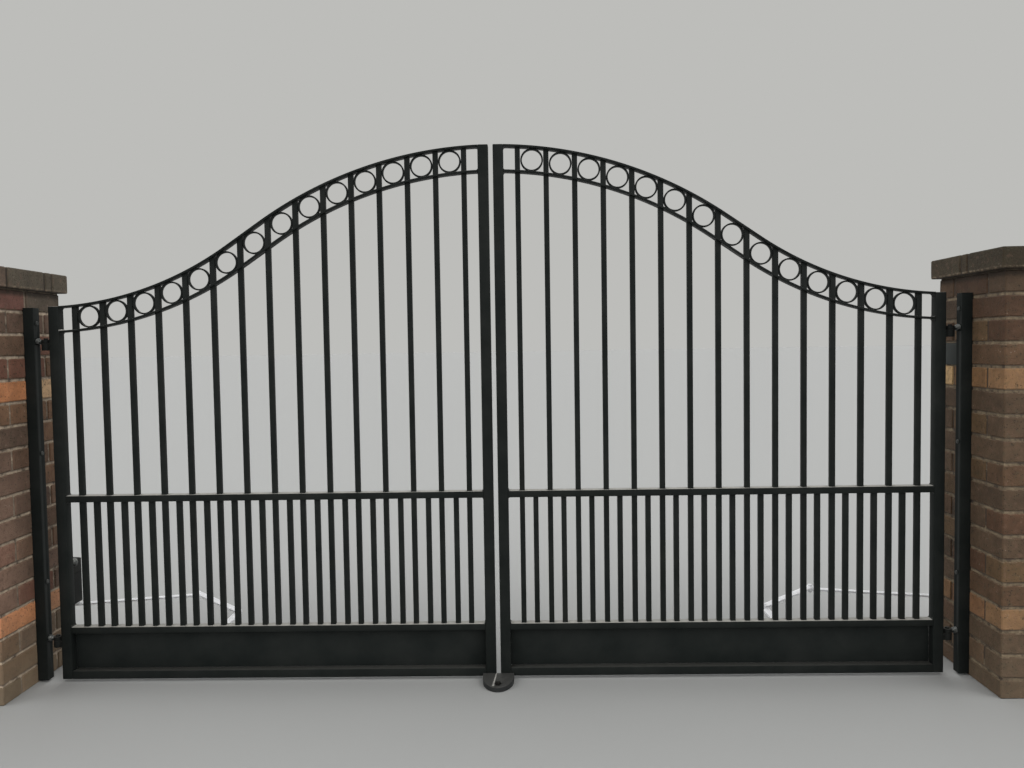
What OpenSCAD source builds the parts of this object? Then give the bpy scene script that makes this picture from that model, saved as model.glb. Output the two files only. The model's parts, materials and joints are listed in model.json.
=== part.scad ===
// Double leaf driveway gate in welded square tube, hung on steel posts
// between two brick piers, with a folding arm opener behind each leaf.
// Millimetres. X runs along the gate, Y into the drive, Z up.
// The origin is the middle of the left pier's underside.

/* [Opening and piers] */
// clear width between the two brick reveals
opening = 3650; // [3600:10:3700]
// side of each square brick pier
pier_side = 471; // [460:1:480]
// height of the brickwork under the cap course
pier_h = 1551; // [1500:1:1600]
// height of the cap course
cap_h = 76; // [60:1:90]
// how far the cap course stands out on every side
cap_out = 25; // [10:1:30]
// how far under the cap course the steel posts end
post_drop = 71; // [60:1:90]
// post top to its first screw
fixing_drop = 60; // [40:5:80]
// spacing of the screws that hold a post to its pier
fixing_pitch = 510; // [450:10:540]
// width and thickness of a screw head
fixing_head = [17, 5]; // [4:1:20]

/* [Frame of a leaf] */
// side of the square tube of stiles and posts
stile = 40; // [36:1:40]
// wall of the square tube
tube_wall = 2.5; // [2:0.5:3]
// gap between the two meeting stiles
meeting_gap = 18; // [16:1:24]
// gap between post and hinge stile
hinge_gap = 58; // [54:1:62]
// ground to the underside of the leaves
leaf_low = 12; // [10:1:20]
// height of the bottom rail
bottom_rail_h = 32; // [28:1:38]
// height of the middle rail and of the rail over the kick panel
rail_h = 25; // [20:1:30]
// ground to the top of the rail over the kick panel
panel_rail_top = 220; // [200:1:240]
// ground to the top of the middle rail
mid_rail_top = 742; // [700:1:780]
// sheet thickness of the kick panel
panel_t = 3; // [2:0.5:4]

/* [Curved head] */
// top of the head at the meeting stiles
head_top = 2073; // [2040:1:2100]
// top of the head at the hinge stiles
head_low = 1484; // [1460:1:1500]
// radius of the head where it bulges up
crown_r = 1590; // [1500:10:1650]
// steepest slope of the head, in degrees
head_angle = 34.3; // [33.5:0.1:35]
// thickness of the two curved flat bars
flat_t = 8; // [6:1:10]
// space between a ring and the bar on each side of it
ring_side_gap = 1; // [0.5:0.5:4]
// radial thickness of a ring
ring_t = 6; // [4:1:8]
// depth of a ring
ring_d = 16; // [12:1:19]

/* [Bars] */
// side of the square bars
bar = 20; // [16:1:20]
// spacing of the full height bars
bar_pitch = 109; // [100:1:120]
// centre of the hinge stile to the first bar
first_bar = 78; // [76:1:82]
// how far the short bars sit off the middle of a bay
short_bar_shift = 2; // [0:1:4]

/* [Hinges] */
// height of the lower eye bolts
hinge_low = 172; // [160:1:190]
// post top to the upper eye bolts
hinge_drop = 132; // [110:1:150]
// diameter of the eye bolt shank and of the hinge pin
pin_d = 16; // [14:1:18]
// outer diameter of the eye and of the knuckle on the leaf
eye_od = 32; // [30:1:34]
// height of the eye
eye_h = 16; // [14:1:22]
// height of the knuckle welded to the stile
knuckle_h = 26; // [22:1:32]
// width over the corners and thickness of an eye bolt nut
nut = [27, 12]; // [10:1:30]

/* [Floor stop] */
// width of the stop across the gate
stop_w = 122; // [110:1:130]
// reach of the stop in front of the leaves
stop_reach = 124; // [110:1:130]
// height of the stop at its straight back and at its round front
stop_h = [24.5, 16.5]; // [14:0.5:26]
// straight length of the stop's sides
stop_side = 19; // [10:1:40]
// straight back of the stop to its bolt
stop_bolt_y = 92; // [84:1:96]
// width over the corners and thickness of the stop's bolt head
stop_bolt_head = [21.9, 9]; // [7:0.1:24]

/* [Openers] */
// height of the opener arms above the ground
arm_z = 205; // [195:1:207]
// length of the drive arm between its pivots
drive_len = 560; // [545:1:575]
// length of the link arm between its pivots
link_len = 380; // [370:1:390]
// distance of the drive shaft behind the gate line
shaft_back = 330; // [320:1:340]
// distance of the drive shaft outside the reveal
shaft_out = 95; // [85:1:105]
// distance of the link arm's pin behind the gate line
pin_back = 200; // [190:1:210]
// distance of the link arm's pin from the hinge axis, along the leaf
pin_in = 650; // [640:1:660]
// width of the drive arm and of the link arm
arm_w = [28, 32]; // [24:1:36]
// thickness of both arms
arm_t = 8; // [6:1:10]
// diameter of the drive shaft and of the link arm's pin
shaft_d = [20, 16]; // [14:1:22]
// width and thickness of the bracket that carries the link arm
bracket = [28, 9]; // [6:1:40]
// width, depth and height of an opener housing
housing = [170, 126, 215]; // [120:1:230]
// how far the lid of a housing falls towards the back
lid_fall = 27; // [20:1:30]
// distance from the reveal to the left and to the right housing
housing_in = [20, 60]; // [10:1:70]

/* [Hidden] */

black = [0.11, 0.115, 0.12];
brick = [0.33, 0.24, 0.2];
zinc = [0.6, 0.6, 0.6];
white = [0.86, 0.86, 0.84];

// Places along X, counted from the middle of the gate.
reveal = opening / 2;
post_in = reveal - stile;
stile_out = post_in - hinge_gap;
hinge_x = stile_out + (hinge_gap - nut[1]) / 2;
stile_in = stile_out - stile;
meet_in = meeting_gap / 2;
meet_out = meet_in + stile;
gate_x = reveal + pier_side / 2;
bar_start = stile_out - stile / 2 - first_bar;

// As many full height bars as fit before the meeting stile with a bar's width to spare.
bar_count = 1 + floor((bar_start - meet_out - bar) / bar_pitch);
ring_od = bar_pitch - bar - 2 * ring_side_gap;

// Clearances: of a piece on its seat, of a shaft in its bore and of a bolt in its hole.
seat_fit = 0.3;
bore_fit = 0.1;
hole_fit = 0.4;

// The head is one arc, a straight piece and a second arc, tangent to each other.
// Both arcs together span what the straight piece leaves over.
head_drop = head_top - head_low;
both_r = (hinge_x * sin(head_angle) - head_drop * cos(head_angle)) / (1 - cos(head_angle));
sweep_r = both_r - crown_r;
ring_gap = ring_od + seat_fit;

function bar_x(i) = bar_start - i * bar_pitch;
// Height on a line that runs a distance d under the head, square to it.
function under_z(x, d) =
    let (crown = crown_r - d, sweep = sweep_r + d)
    x <= crown * sin(head_angle) ? head_top - crown_r + sqrt(crown * crown - x * x)
    : x >= hinge_x - sweep * sin(head_angle)
        ? head_low + sweep_r - sqrt(sweep * sweep - (x - hinge_x) * (x - hinge_x))
    : head_top - crown_r + crown * cos(head_angle) - (x - crown * sin(head_angle)) * tan(head_angle);

// Where the curved bars change direction: at the faces of every bar and in between.
steps = 4;
bay_xs = [for (i = [0 : bar_count - 2], k = [0 : steps])
    bar_x(i) - bar / 2 - k * (bar_pitch - bar) / steps];
head_xs = concat(
    [stile_in, (stile_in + bar_x(0) + bar / 2) / 2, bar_x(0) + bar / 2],
    bay_xs,
    [bar_x(bar_count - 1) - bar / 2, (bar_x(bar_count - 1) - bar / 2 + meet_out) / 2, meet_out]
);

// Placing. Every shape is drawn for the right leaf and mirrored for the left one.
module at_gate(side) {
    translate([gate_x, 0, 0]) {
        mirror([side < 0 ? 1 : 0, 0, 0]) children();
    }
}

// A flat outline in X and Z, given a depth along Y about the gate line.
module slab(depth) {
    translate([0, depth / 2, 0]) {
        rotate([90, 0, 0]) linear_extrude(depth) children();
    }
}

module box(x, y, z) {
    translate([x[0], y[0], z[0]]) cube([x[1] - x[0], y[1] - y[0], z[1] - z[0]]);
}

// Upright square tube with closed ends.
tube_end = 3;

module upright(x, low, high) {
    difference() {
        box([x, x + stile], [-stile / 2, stile / 2], [low, high]);
        box([x + tube_wall, x + stile - tube_wall],
            [-stile / 2 + tube_wall, stile / 2 - tube_wall], [low + tube_end, high - tube_end]);
    }
}

// Curved flat bar whose top runs a distance d under the head.
module curved_flat(d) {
    slab(stile) polygon(concat(
        [for (x = head_xs) [x, under_z(x, d)]],
        [for (i = [len(head_xs) - 1 : -1 : 0]) [head_xs[i], under_z(head_xs[i], d + flat_t)]]
    ));
}

// Upright bar with its top cut along the underside of the head.
module full_bar(x) {
    slab(bar) polygon([
        [x - bar / 2, panel_rail_top],
        [x + bar / 2, panel_rail_top],
        [x + bar / 2, under_z(x + bar / 2, flat_t)],
        [x - bar / 2, under_z(x - bar / 2, flat_t)]
    ]);
}

module all_full_bars() {
    for (i = [0 : bar_count - 1]) full_bar(bar_x(i));
}

// Brickwork
module pier(side) {
    at_gate(side) box([reveal, reveal + pier_side], [-pier_side / 2, pier_side / 2], [0, pier_h]);
}

module pier_cap(side) {
    at_gate(side) box([reveal - cap_out, reveal + pier_side + cap_out],
        [-pier_side / 2 - cap_out, pier_side / 2 + cap_out], [pier_h, pier_h + cap_h]);
}

// Posts, fixings and the fixed halves of the hinges
post_low = 8;
post_high = pier_h - post_drop;
hinge_zs = [hinge_low, post_high - hinge_drop];
fixing_zs = [for (k = [0 : 2]) post_high - fixing_drop - k * fixing_pitch];
shank_end = reveal - tube_wall;

module post(side) {
    at_gate(side) difference() {
        upright(post_in, post_low, post_high);
        for (z = hinge_zs) {
            translate([post_in - 1, 0, z]) rotate([0, 90, 0]) {
                cylinder(h = tube_wall + 2, d = pin_d + hole_fit, $fn = 48);
            }
        }
    }
}

module eye_bolt(z) {
    difference() {
        union() {
            translate([hinge_x, 0, z - eye_h / 2]) cylinder(h = eye_h, d = eye_od, $fn = 64);
            translate([hinge_x + eye_od / 4, 0, z]) rotate([0, 90, 0]) {
                cylinder(h = shank_end - hinge_x - eye_od / 4, d = pin_d, $fn = 48);
            }
        }
        translate([hinge_x, 0, z - eye_h / 2 - 1]) cylinder(h = eye_h + 2, d = pin_d + bore_fit, $fn = 64);
    }
}

module eye_bolts() {
    color(black) for (side = [-1, 1], z = hinge_zs) at_gate(side) eye_bolt(z);
}

module hinge_nuts() {
    color(zinc) for (side = [-1, 1], z = hinge_zs) at_gate(side) {
        difference() {
            translate([post_in - nut[1], 0, z]) rotate([0, 90, 0]) {
                cylinder(h = nut[1], d = nut[0], $fn = 6);
            }
            translate([post_in - nut[1] - 1, 0, z]) rotate([0, 90, 0]) {
                cylinder(h = nut[1] + 2, d = pin_d, $fn = 48);
            }
        }
    }
}

module post_fixings() {
    color(zinc) for (side = [-1, 1], z = fixing_zs) at_gate(side) {
        translate([post_in - fixing_head[1], 0, z]) rotate([0, 90, 0]) {
            cylinder(h = fixing_head[1], d = fixing_head[0], $fn = 6);
        }
    }
}

// Floor stop with a straight back, a round front and a top that falls to the front, bolted down
stop_clear = 1;
stop_bolt_d = 13;
stop_back = -stile / 2 - stop_clear;
stop_r = stop_w / 2;
stop_hole_y = stop_back - stop_bolt_y;
stop_seat_r = 14;
stop_round = stop_reach - stop_side;

// Height of the stop's top at a distance d in front of its back.
function stop_top(d) = stop_h[0] - (stop_h[0] - stop_h[1]) * d / stop_reach;

// The bolt head sits on a flat seat, level with the top at the seat's front edge.
stop_seat = stop_top(stop_bolt_y + stop_seat_r);

module stop_outline() {
    translate([-stop_r, stop_back - stop_side]) square([stop_w, stop_side]);
    translate([0, stop_back - stop_side]) scale([1, stop_round / stop_r]) circle(r = stop_r, $fn = 96);
}

module stop_side_view() {
    polygon([
        [stop_back, 0],
        [stop_back, stop_h[0]],
        [stop_back - stop_reach, stop_h[1]],
        [stop_back - stop_reach, 0]
    ]);
}

module floor_stop() {
    color(black) at_gate(1) difference() {
        intersection() {
            linear_extrude(stop_h[0] + 1) stop_outline();
            translate([-stop_r - 1, 0, 0]) rotate([90, 0, 90]) linear_extrude(stop_w + 2) stop_side_view();
        }
        translate([0, stop_hole_y, -1]) cylinder(h = stop_h[0] + 2, d = stop_bolt_d, $fn = 48);
        translate([0, stop_hole_y, stop_seat]) cylinder(h = stop_h[0], r = stop_seat_r, $fn = 48);
    }
}

module stop_bolt() {
    color(zinc) at_gate(1) translate([0, stop_hole_y, 0]) {
        cylinder(h = stop_seat, d = stop_bolt_d, $fn = 48);
        translate([0, 0, stop_seat]) cylinder(h = stop_bolt_head[1], d = stop_bolt_head[0], $fn = 6);
    }
}

// Openers behind the piers
shaft_x = reveal + shaft_out;
arm_gap = 1;
housing_low = arm_z + arm_t + 2 * arm_gap;
plate_t = 8;
plate_in = 8;
plate_out = 20;
housing_y = pier_side / 2 + plate_t;

function housing_x(side) = reveal + housing_in[side < 0 ? 0 : 1];

// A housing seen from its end: the lid slopes down towards the back.
module housing_outline() {
    polygon([
        [housing_y, housing_low],
        [housing_y + housing[1], housing_low],
        [housing_y + housing[1], housing_low + housing[2] - lid_fall],
        [housing_y, housing_low + housing[2]]
    ]);
}

module opener_housings() {
    color(black) for (side = [-1, 1]) at_gate(side) {
        translate([housing_x(side), 0, 0]) rotate([90, 0, 90]) linear_extrude(housing[0]) housing_outline();
        translate([shaft_x, shaft_back, arm_z - arm_t]) {
            cylinder(h = housing_low - arm_z + arm_t, d = shaft_d[0], $fn = 48);
        }
    }
}

module opener_plates() {
    color(black) for (side = [-1, 1]) at_gate(side) {
        box([housing_x(side) - plate_in, housing_x(side) + housing[0] + plate_out],
            [pier_side / 2, housing_y],
            [housing_low - plate_out, housing_low + housing[2] + plate_out]);
    }
}

// The folding arms. Both are drawn from their fixed pivot.
pin_end = 3;
bracket_x = hinge_x - pin_in;
gap_x = shaft_x - bracket_x;
gap_y = shaft_back - pin_back;
gap_len = sqrt(gap_x * gap_x + gap_y * gap_y);
drive_turn = acos((drive_len * drive_len + gap_len * gap_len - link_len * link_len)
    / (2 * drive_len * gap_len)) - atan2(gap_y, gap_x);
elbow_x = shaft_x - drive_len * cos(drive_turn);
elbow_y = shaft_back + drive_len * sin(drive_turn);
link_turn = atan2(elbow_y - pin_back, bracket_x - elbow_x);

module arm(length, width, bore) {
    difference() {
        union() {
            translate([0, -width / 2, 0]) cube([length, width, arm_t]);
            cylinder(h = arm_t, d = width, $fn = 48);
            translate([length, 0, 0]) cylinder(h = arm_t, d = width, $fn = 48);
        }
        translate([0, 0, -1]) cylinder(h = arm_t + 2, d = bore, $fn = 48);
    }
}

module drive_arm(side) {
    color(white) at_gate(side) translate([shaft_x, shaft_back, arm_z - arm_t]) {
        rotate([0, 0, 180 - drive_turn]) arm(drive_len, arm_w[0], shaft_d[0] + bore_fit);
    }
}

module link_arm(side) {
    color(white) at_gate(side) translate([bracket_x, pin_back, arm_z + arm_gap]) {
        rotate([0, 0, 180 - link_turn]) arm(link_len, arm_w[1], shaft_d[1] + bore_fit);
    }
}

module arm_bracket(side) {
    color(white) at_gate(side) {
        box([bracket_x - bracket[0] / 2, bracket_x + bracket[0] / 2],
            [stile / 2, pin_back + bracket[0] / 2], [arm_z - bracket[1], arm_z]);
        translate([bracket_x, pin_back, arm_z]) {
            cylinder(h = arm_gap + arm_t + pin_end, d = shaft_d[1], $fn = 48);
        }
    }
}

// Leaves
module hinge_stile(side) {
    color(black) at_gate(side) upright(stile_in, leaf_low, head_low);
}

module meeting_stile(side) {
    color(black) at_gate(side) upright(meet_in, leaf_low, head_top);
}

module top_rail(side) {
    color(black) at_gate(side) curved_flat(0);
}

module ring_rail(side) {
    color(black) at_gate(side) difference() {
        curved_flat(flat_t + ring_gap);
        all_full_bars();
    }
}

module mid_rail(side) {
    color(black) at_gate(side) difference() {
        box([meet_out, stile_in], [-stile / 2, stile / 2], [mid_rail_top - rail_h, mid_rail_top]);
        all_full_bars();
    }
}

module panel_rail(side) {
    color(black) at_gate(side) {
        box([meet_out, stile_in], [-stile / 2, stile / 2], [panel_rail_top - rail_h, panel_rail_top]);
    }
}

module bottom_rail(side) {
    color(black) at_gate(side) {
        box([meet_out, stile_in], [-stile / 2, stile / 2], [leaf_low, leaf_low + bottom_rail_h]);
    }
}

module kick_panel(side) {
    color(black) at_gate(side) {
        box([meet_out, stile_in], [stile / 2 - panel_t, stile / 2],
            [leaf_low + bottom_rail_h, panel_rail_top - rail_h]);
    }
}

module bars(side) {
    color(black) at_gate(side) all_full_bars();
}

module short_bars(side) {
    color(black) at_gate(side) for (i = [0 : bar_count - 2]) {
        x = bar_x(i) - bar_pitch / 2 - short_bar_shift;
        box([x - bar / 2, x + bar / 2], [-bar / 2, bar / 2], [panel_rail_top, mid_rail_top - rail_h]);
    }
}

module rings(side) {
    color(black) at_gate(side) for (i = [0 : bar_count - 2]) {
        x = bar_x(i) - bar_pitch / 2;
        translate([x, ring_d / 2, under_z(x, flat_t + ring_gap / 2)]) rotate([90, 0, 0]) {
            difference() {
                cylinder(h = ring_d, d = ring_od, $fn = 72);
                translate([0, 0, -1]) cylinder(h = ring_d + 2, d = ring_od - 2 * ring_t, $fn = 72);
            }
        }
    }
}

// Each knuckle hangs under its eye, with a web to the stile and a pin that stands out of the eye.
eye_play = 0.5;
pin_out = 5.5;
web_t = 24;
web_bite = 1;

module hinge_pins(side) {
    color(black) at_gate(side) for (z = hinge_zs) {
        top = z - eye_h / 2 - eye_play;
        translate([hinge_x, 0, top - knuckle_h]) cylinder(h = knuckle_h, d = eye_od, $fn = 64);
        translate([hinge_x, 0, top]) cylinder(h = eye_play + eye_h + pin_out, d = pin_d, $fn = 64);
        difference() {
            box([stile_out, hinge_x], [-web_t / 2, web_t / 2], [top - knuckle_h, top]);
            translate([hinge_x, 0, top - knuckle_h - 1]) {
                cylinder(h = knuckle_h + 2, d = eye_od - 2 * web_bite, $fn = 64);
            }
        }
    }
}

module left_pier() { color(brick) pier(-1); }
module right_pier() { color(brick) pier(1); }
module left_pier_cap() { color(brick) pier_cap(-1); }
module right_pier_cap() { color(brick) pier_cap(1); }
module left_post() { color(black) post(-1); }
module right_post() { color(black) post(1); }

left_pier();
right_pier();
left_pier_cap();
right_pier_cap();
left_post();
right_post();
eye_bolts();
hinge_nuts();
post_fixings();
floor_stop();
stop_bolt();
opener_housings();
opener_plates();
hinge_stile(-1);  // left_hinge_stile
meeting_stile(-1);  // left_meeting_stile
top_rail(-1);  // left_top_rail
ring_rail(-1);  // left_ring_rail
mid_rail(-1);  // left_mid_rail
panel_rail(-1);  // left_panel_rail
bottom_rail(-1);  // left_bottom_rail
kick_panel(-1);  // left_kick_panel
bars(-1);  // left_bars
short_bars(-1);  // left_short_bars
rings(-1);  // left_rings
hinge_pins(-1);  // left_hinge_pins
arm_bracket(-1);  // left_arm_bracket
drive_arm(-1);  // left_drive_arm
link_arm(-1);  // left_link_arm
hinge_stile(1);  // right_hinge_stile
meeting_stile(1);  // right_meeting_stile
top_rail(1);  // right_top_rail
ring_rail(1);  // right_ring_rail
mid_rail(1);  // right_mid_rail
panel_rail(1);  // right_panel_rail
bottom_rail(1);  // right_bottom_rail
kick_panel(1);  // right_kick_panel
bars(1);  // right_bars
short_bars(1);  // right_short_bars
rings(1);  // right_rings
hinge_pins(1);  // right_hinge_pins
arm_bracket(1);  // right_arm_bracket
drive_arm(1);  // right_drive_arm
link_arm(1);  // right_link_arm
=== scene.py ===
# The looks of a double leaf driveway gate between two brick piers.
# Metres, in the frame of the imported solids: X along the gate, Y into the drive, Z up.
import json
import math
import random

import bmesh
import bpy
from mathutils import Matrix, Vector, noise

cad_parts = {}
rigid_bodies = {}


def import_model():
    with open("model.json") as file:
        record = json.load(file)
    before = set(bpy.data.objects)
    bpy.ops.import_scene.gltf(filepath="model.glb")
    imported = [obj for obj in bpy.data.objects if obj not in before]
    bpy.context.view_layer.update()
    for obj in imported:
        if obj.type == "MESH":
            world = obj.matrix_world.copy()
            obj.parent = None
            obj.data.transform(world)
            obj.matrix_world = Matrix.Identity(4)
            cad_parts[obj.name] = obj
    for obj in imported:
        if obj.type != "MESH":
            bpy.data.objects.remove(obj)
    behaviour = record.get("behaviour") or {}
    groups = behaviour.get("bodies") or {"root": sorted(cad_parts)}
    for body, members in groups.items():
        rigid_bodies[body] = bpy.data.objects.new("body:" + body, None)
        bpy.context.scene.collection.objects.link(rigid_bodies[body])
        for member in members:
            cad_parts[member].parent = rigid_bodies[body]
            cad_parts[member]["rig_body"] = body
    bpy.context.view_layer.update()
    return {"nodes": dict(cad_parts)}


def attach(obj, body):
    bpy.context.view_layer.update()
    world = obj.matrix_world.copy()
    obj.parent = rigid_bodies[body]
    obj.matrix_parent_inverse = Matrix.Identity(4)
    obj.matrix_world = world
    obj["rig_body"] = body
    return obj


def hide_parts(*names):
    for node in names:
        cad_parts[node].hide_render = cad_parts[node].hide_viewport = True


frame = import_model()
for o in list(bpy.data.objects):
    if "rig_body" not in o and not o.name.startswith("body:"):
        bpy.data.objects.remove(o)

# Places along the gate, the same as in the solids.
GATE = 2.0605        # middle of the gate
REVEAL = 1.825       # gate middle to a pier's reveal
PIER = 0.471         # side of a pier
PIER_H = 1.551       # brickwork under the cap course
CAP_OUT = 0.025      # how far the cap course stands out
BRICK = (0.230, 0.110, 0.076)
CLOSER = 0.039       # width of the thin closers in the cap
JOINT = 0.011
COURSE = BRICK[2] + JOINT
COURSES = 18
BAND_COURSES = (4, 14)       # courses of paler brick, counted from the top
RAKED = 0.005        # how far the mortar lies behind the bricks
PAINTED_CAP_SHADOW = (PIER_H - 0.032, PIER_H - 0.018)      # heights between which painted shadow begins under the caps
HINGE = 1.750        # gate middle to a hinge axis
EYES = (0.172, 1.348)        # heights of the eye bolts
KNUCKLE = 0.026      # height of a hinge knuckle
KNUCKLE_DROP = 0.0085        # from an eye bolt's middle down to the knuckle's top
STILE = 0.040        # square tube of stiles and posts
STILE_OUT = 1.727    # outer face of a hinge stile
MEET_IN = 0.009      # inner face of a meeting stile
MID_RAIL = (0.717, 0.742)    # underside and top
PANEL_RAIL_TOP = 0.220
PITCH = 0.109        # spacing of the full height bars
FIRST_BAR = 1.629    # gate middle to the bar beside the hinge stile
BAYS = 14            # bays with a ring in each leaf
FLAT = 0.008         # thickness of the two curved flat bars
RING = 0.087         # outer diameter of a ring
RING_GAP = 0.0873    # space between the curved flat bars
HEAD_TOP = 2.073
HEAD_LOW = 1.484
CROWN_R = 1.590
HEAD_ANGLE = math.radians(34.3)
SHAFT = (1.920, 0.330)   # drive shaft: from the gate's middle, behind the gate line
PIN = (1.100, 0.200)     # pin of the bracket on a leaf, the same way
DRIVE, LINK = 0.560, 0.380   # the arms between their pivots
ARMS = (0.197, 0.214)        # underside of the drive arm and top of the link arm above it
CASING = (0.170, 0.126, 0.215)       # width, depth and height of an opener's casing
CASING_FRONT, CASING_LOW = 0.2435, 0.215
LID_FALL = 0.027     # how far its lid falls towards the back
CASING_IN = {"left": 0.020, "right": 0.060}   # reveal to the inner face of an opener's casing
STOP_BACK, STOP_REACH = -0.021, 0.124
STOP_TOP = (0.0245, 0.0165)  # height of the floor stop at its back and at its front
SIDES = {"left": -1, "right": 1}


# Curve of the head

def both_radii():
    drop = HEAD_TOP - HEAD_LOW
    return (HINGE * math.sin(HEAD_ANGLE) - drop * math.cos(HEAD_ANGLE)) / (1 - math.cos(HEAD_ANGLE))


SWEEP_R = both_radii() - CROWN_R


def under_head(x, d):
    """Height of a line that runs a distance d under the head, x from the gate's middle."""
    crown, sweep = CROWN_R - d, SWEEP_R + d
    if x <= crown * math.sin(HEAD_ANGLE):
        return HEAD_TOP - CROWN_R + math.sqrt(crown * crown - x * x)
    if x >= HINGE - sweep * math.sin(HEAD_ANGLE):
        return HEAD_LOW + SWEEP_R - math.sqrt(sweep * sweep - (x - HINGE) ** 2)
    end = crown * math.sin(HEAD_ANGLE)
    return HEAD_TOP - CROWN_R + crown * math.cos(HEAD_ANGLE) - (x - end) * math.tan(HEAD_ANGLE)


def head_slope(x, d):
    """How steeply that line falls towards the hinge, as an angle."""
    return math.atan2(under_head(x - 0.001, d) - under_head(x + 0.001, d), 0.002)


# Modelling

def clear():
    """Back to object mode with nothing selected."""
    if bpy.context.view_layer.objects.active and bpy.context.mode != "OBJECT":
        bpy.ops.object.mode_set(mode="OBJECT")
    bpy.ops.object.select_all(action="DESELECT")


def settle(name):
    """Names the new primitive and puts its place into its mesh."""
    o = bpy.context.object
    o.name = name
    bpy.ops.object.transform_apply(location=True, rotation=True, scale=True)
    return o


def block(name, low, high):
    clear()
    middle = [(a + b) / 2 for a, b in zip(low, high)]
    size = [b - a for a, b in zip(low, high)]
    bpy.ops.mesh.primitive_cube_add(size=1, location=middle, scale=size)
    return settle(name)


def rod(name, start, end, radius, sides):
    clear()
    start, end = Vector(start), Vector(end)
    turn = (end - start).to_track_quat("Z", "Y").to_euler()
    bpy.ops.mesh.primitive_cylinder_add(
        vertices=sides, radius=radius, depth=(end - start).length, location=(start + end) / 2, rotation=turn)
    return settle(name)


def pick(o, kind, test):
    """In edit mode, selects only the faces (middle, normal) or edges (middle, direction) that pass."""
    if bpy.context.mode != "EDIT_MESH":
        clear()
        o.select_set(True)
        bpy.context.view_layer.objects.active = o
        bpy.ops.object.mode_set(mode="EDIT")
    bpy.ops.mesh.select_mode(type="FACE" if kind == "faces" else "EDGE")
    bpy.ops.mesh.select_all(action="DESELECT")
    b = bmesh.from_edit_mesh(o.data)
    for item in getattr(b, kind):
        if kind == "faces":
            middle, way = item.calc_center_median(), item.normal
        else:
            ends = [v.co for v in item.verts]
            middle, way = (ends[0] + ends[1]) / 2, (ends[1] - ends[0]).normalized()
        item.select_set(bool(test(middle, way)))
    b.select_flush(True)
    bmesh.update_edit_mesh(o.data)


def ease(o, width, segments=2):
    """Rounds every sharp edge."""
    clear()
    o.select_set(True)
    bpy.context.view_layer.objects.active = o
    m = o.modifiers.new("ease", "BEVEL")
    m.width, m.segments, m.limit_method = width, segments, "ANGLE"
    m.angle_limit = math.radians(30)
    m.use_clamp_overlap = True
    bpy.ops.object.modifier_apply(modifier=m.name)
    return o


def joined(name, parts):
    """One object from several."""
    clear()
    for p in parts:
        p.select_set(True)
    bpy.context.view_layer.objects.active = parts[0]
    if len(parts) > 1:
        bpy.ops.object.join()
    o = bpy.context.object
    o.name = name
    o.data.name = name
    return o


def place(o, body, material, stands_for=()):
    """The last step of a piece: smooth, paint, and let it ride on its body, for the nodes it stands for."""
    clear()
    o.select_set(True)
    bpy.context.view_layer.objects.active = o
    bpy.ops.object.shade_smooth_by_angle(angle=math.radians(35))
    o.data.materials.clear()
    o.data.materials.append(material)
    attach(o, body)
    if stands_for:
        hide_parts(*stands_for)
    return o


def eased_copy(node, width):
    """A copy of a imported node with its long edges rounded, as rolled steel has them."""
    source = frame["nodes"][node]
    o = bpy.data.objects.new(node + "_steel", source.data.copy())
    bpy.context.scene.collection.objects.link(o)
    clear()
    o.select_set(True)
    bpy.context.view_layer.objects.active = o
    bpy.ops.object.mode_set(mode="EDIT")
    bpy.ops.mesh.select_all(action="SELECT")
    bpy.ops.mesh.remove_doubles(threshold=0.00002)
    bpy.ops.mesh.dissolve_limited(angle_limit=math.radians(0.1))
    bpy.ops.object.mode_set(mode="OBJECT")
    o.data.materials.clear()
    return ease(o, width)


# Materials

def paint(hex_colour):
    """An sRGB colour as Blender wants it."""
    out = []
    for i in (1, 3, 5):
        c = int(hex_colour[i:i + 2], 16) / 255
        out.append(c / 12.92 if c <= 0.04045 else ((c + 0.055) / 1.055) ** 2.4)
    return (*out, 1)


def add(mat, kind, inputs=None, **settings):
    """Adds one node with its settings, its input values and its links."""
    made = mat.node_tree.nodes.new("ShaderNode" + kind)
    for key, value in settings.items():
        setattr(made, key, value)
    for key, value in (inputs or {}).items():
        if isinstance(value, bpy.types.NodeSocket):
            mat.node_tree.links.new(value, made.inputs[key])
        else:
            made.inputs[key].default_value = value
    return made


def blank(name):
    """A new material with its shader and nothing else."""
    mat = bpy.data.materials.new(name)
    mat.use_nodes = True
    return mat, mat.node_tree.nodes["Principled BSDF"]


def link(mat, socket, shader, name):
    mat.node_tree.links.new(socket, shader.inputs[name])


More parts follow.
